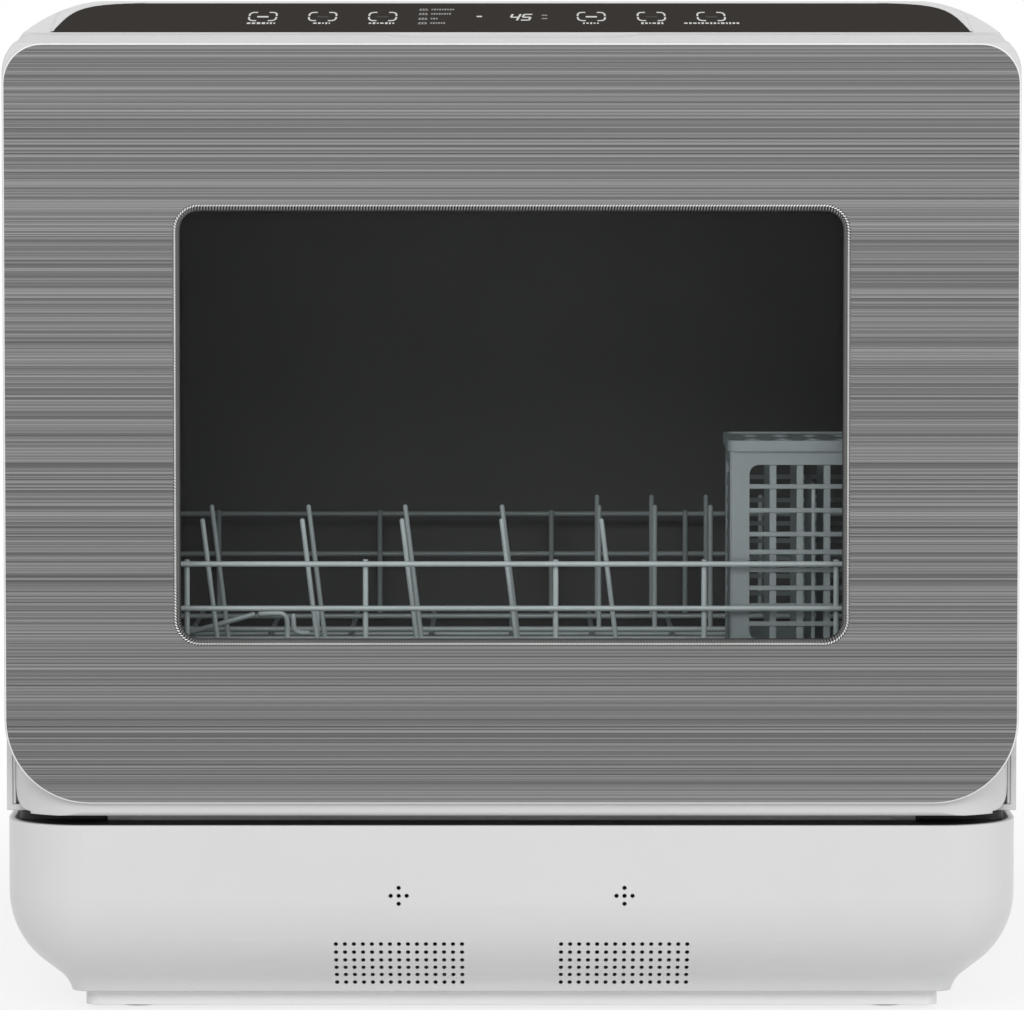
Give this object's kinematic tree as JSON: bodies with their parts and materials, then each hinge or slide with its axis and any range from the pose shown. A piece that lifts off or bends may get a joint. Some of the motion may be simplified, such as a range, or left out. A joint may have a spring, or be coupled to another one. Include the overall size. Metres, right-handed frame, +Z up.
{
  "type": "countertop dishwasher",
  "caption": "Countertop dishwasher with a drop-down window door, sloped touch console, wire rack on wheels, cutlery basket, spray arms and a built-in water tank.",
  "frame": {"origin": "bottom centre of the whole object, on the worktop under its middle", "axes": "+Z up; the door faces -Y; +X to the right seen from the front"},
  "size_m": [0.432, 0.42, 0.434],
  "materials": {
    "white_shell": "smooth satin gloss moulded plastic",
    "rear_grey": "fine textured plastic",
    "dark_trim": "matte black plastic",
    "gap_gloss": "gloss dark plastic",
    "foot_rubber": "matte rubber",
    "control_glass": "polished black touch glass",
    "circuit_board": "green lacquered board",
    "tub_grey": "satin dark grey polypropylene",
    "track_grey": "grey nylon",
    "pale_plastic": "pale grey plastic",
    "bright_steel": "brushed stainless steel",
    "motor_metal": "cast and painted metal",
    "tank_plastic": "milky blow-moulded plastic",
    "inlet_brass": "plated thread",
    "brushed_film": "dark brushed metal with long horizontal streaks",
    "bezel_silver": "bright silver",
    "window_glass": "clear glass",
    "liner_grey": "satin grey plastic",
    "rack_coating": "grey-green nylon coated wire",
    "basket_plastic": "grey-green moulded plastic"
  },
  "bodies": {
    "cabinet": {"base_shell": "white_shell", "upper_shell": "white_shell", "base_plate": "white_shell", "rear_panel": "rear_grey", "rear_vent": "rear_grey", "fill_collar": "rear_grey", "shadow_trim": "dark_trim", "latch_housing": "dark_trim", "cable_gland": "dark_trim", "drain_connector": "dark_trim", "fan_housing": "dark_trim", "gap_strip": "gap_gloss", "rubber_feet": "foot_rubber", "door_gasket": "foot_rubber", "control_glass": "control_glass", "control_board": "circuit_board", "power_board": "circuit_board", "tub": "tub_grey", "sump": "tub_grey", "lower_arm_hub": "tub_grey", "riser_pipe": "tub_grey", "wash_pump_housing": "tub_grey", "rack_tracks": "track_grey", "filter_plate": "bright_steel", "micro_filter": "bright_steel", "water_heater": "bright_steel", "hinge_brackets": "bright_steel", "cabinet_screws": "bright_steel", "wash_pump_motor": "motor_metal", "drain_pump": "motor_metal", "water_tank": "tank_plastic", "inlet_connector": "inlet_brass"},
    "door": {"door_frame": "white_shell", "door_film": "brushed_film", "window_bezel": "bezel_silver", "outer_glass": "window_glass", "inner_liner": "liner_grey", "inner_glass": "window_glass", "window_gasket": "foot_rubber", "hinge_arms": "bright_steel", "door_strike": "bright_steel", "dispenser_body": "track_grey"},
    "dispenser_lid": {"dispenser_lid": "pale_plastic"},
    "rack": {"rack_frame": "rack_coating", "rack_floor": "rack_coating", "bowl_tines": "rack_coating", "plate_tines": "rack_coating", "wheel_axles": "pale_plastic"},
    "wheel_front_left": {"rack_wheel_front_left": "pale_plastic"},
    "wheel_front_right": {"rack_wheel_front_right": "pale_plastic"},
    "wheel_rear_left": {"rack_wheel_rear_left": "pale_plastic"},
    "wheel_rear_right": {"rack_wheel_rear_right": "pale_plastic"},
    "cutlery": {"cutlery_basket": "basket_plastic", "cutlery_lid": "basket_plastic"},
    "lower_arm": {"lower_spray_arm": "pale_plastic"},
    "upper_arm": {"upper_spray_arm": "pale_plastic"},
    "filter": {"filter_cup": "pale_plastic"},
    "float": {"float_cup": "pale_plastic"},
    "fill_flap": {"fill_flap": "white_shell"},
    "fan": {"fan_rotor": "dark_trim"}
  },
  "joints": [
    {"name": "door_hinge", "type": "hinge", "parent": "cabinet", "child": "door", "pos_m": [0, -0.197, 0.0986], "axis": [1, 0, 0], "range_deg": [0, 90]},
    {"name": "dispenser_lid_slide", "type": "slide", "parent": "door", "child": "dispenser_lid", "axis": [1, 0, 0], "range_m": [0, 0.036]},
    {"name": "rack_slide", "type": "slide", "parent": "cabinet", "child": "rack", "axis": [0, -1, 0], "range_m": [0, 0.25]},
    {"name": "cutlery_lift", "type": "slide", "parent": "rack", "child": "cutlery", "axis": [0, 0, 1], "range_m": [0, 0.09]},
    {"name": "lower_arm_spin", "type": "hinge", "parent": "cabinet", "child": "lower_arm", "pos_m": [0, -0.017, 0.1295], "axis": [0, 0, 1], "continuous": true},
    {"name": "upper_arm_spin", "type": "hinge", "parent": "cabinet", "child": "upper_arm", "pos_m": [0, -0.017, 0.369], "axis": [0, 0, 1], "continuous": true},
    {"name": "filter_twist", "type": "hinge", "parent": "cabinet", "child": "filter", "pos_m": [0, -0.109, 0.08], "axis": [0, 0, 1], "range_deg": [0, 60]},
    {"name": "float_rise", "type": "slide", "parent": "cabinet", "child": "float", "axis": [0, 0, 1], "range_m": [0, 0.008]},
    {"name": "fill_flap_hinge", "type": "hinge", "parent": "cabinet", "child": "fill_flap", "pos_m": [0.11, 0.134, 0.429], "axis": [-1, 0, 0], "range_deg": [0, 100]},
    {"name": "fan_spin", "type": "hinge", "parent": "cabinet", "child": "fan", "pos_m": [-0.1975, 0.06, 0.32], "axis": [1, 0, 0], "continuous": true},
    {"name": "wheel_front_left_spin", "type": "hinge", "parent": "rack", "child": "wheel_front_left", "pos_m": [-0.1775, -0.115, 0.1313], "axis": [1, 0, 0], "continuous": true},
    {"name": "wheel_rear_left_spin", "type": "hinge", "parent": "rack", "child": "wheel_rear_left", "pos_m": [-0.1775, 0.111, 0.1313], "axis": [1, 0, 0], "continuous": true},
    {"name": "wheel_front_right_spin", "type": "hinge", "parent": "rack", "child": "wheel_front_right", "pos_m": [0.1775, -0.115, 0.1313], "axis": [1, 0, 0], "continuous": true},
    {"name": "wheel_rear_right_spin", "type": "hinge", "parent": "rack", "child": "wheel_rear_right", "pos_m": [0.1775, 0.111, 0.1313], "axis": [1, 0, 0], "continuous": true}
  ],
  "couplings": [
    {"joint": "rack_slide", "follows": "door_hinge", "m_per_rad": 0.07162},
    {"joint": "wheel_front_left_spin", "follows": "door_hinge", "ratio": 7.9578},
    {"joint": "wheel_rear_left_spin", "follows": "door_hinge", "ratio": 7.9578},
    {"joint": "wheel_front_right_spin", "follows": "door_hinge", "ratio": 7.9578},
    {"joint": "wheel_rear_right_spin", "follows": "door_hinge", "ratio": 7.9578}
  ]
}
